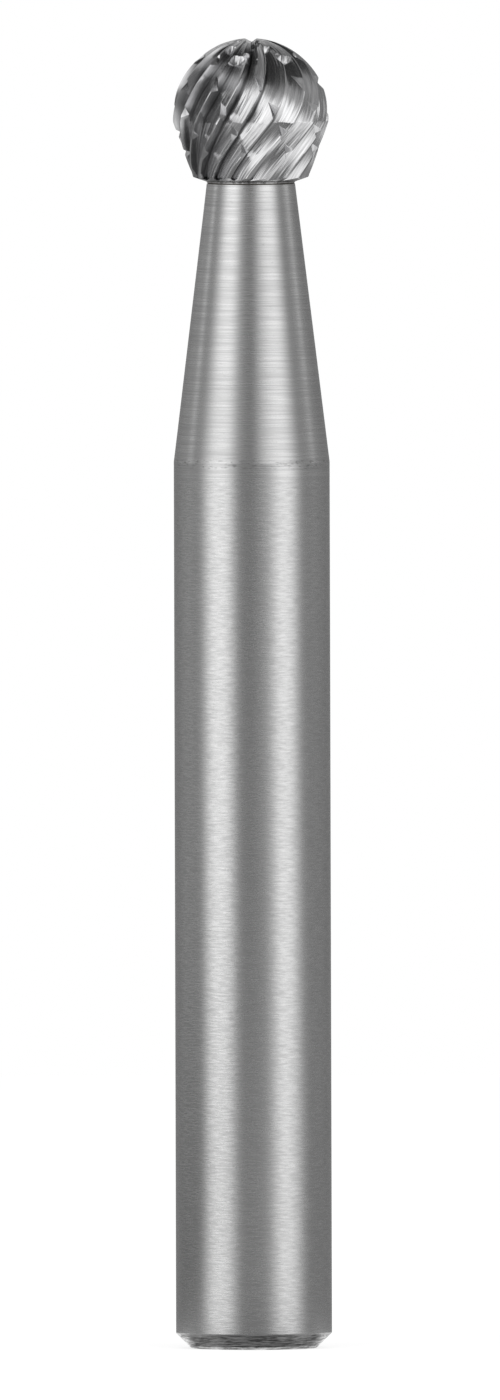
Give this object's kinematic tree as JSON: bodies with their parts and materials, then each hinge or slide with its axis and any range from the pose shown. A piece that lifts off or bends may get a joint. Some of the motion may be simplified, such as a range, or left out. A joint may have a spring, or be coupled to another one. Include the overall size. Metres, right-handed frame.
{
  "type": "carbide burr",
  "caption": "Ball-nosed rotary cutter: a helically fluted carbide ball with chip breakers, brazed to a tapered steel shank.",
  "frame": {"origin": "centre of the flat end of the shank, which the tool stands on", "axes": "+Z along the tool's axis towards the cutting ball; -Y is the side seen in the reference view"},
  "size_m": [0.006, 0.006, 0.0504],
  "materials": {
    "ground_steel": "centreless ground",
    "silver_solder": "dull, as brazed",
    "tungsten_carbide": "ground with a fine diamond wheel"
  },
  "bodies": {
    "root": {"shank": "ground_steel", "solder_film": "silver_solder", "cutting_head": "tungsten_carbide"}
  },
  "joints": []
}
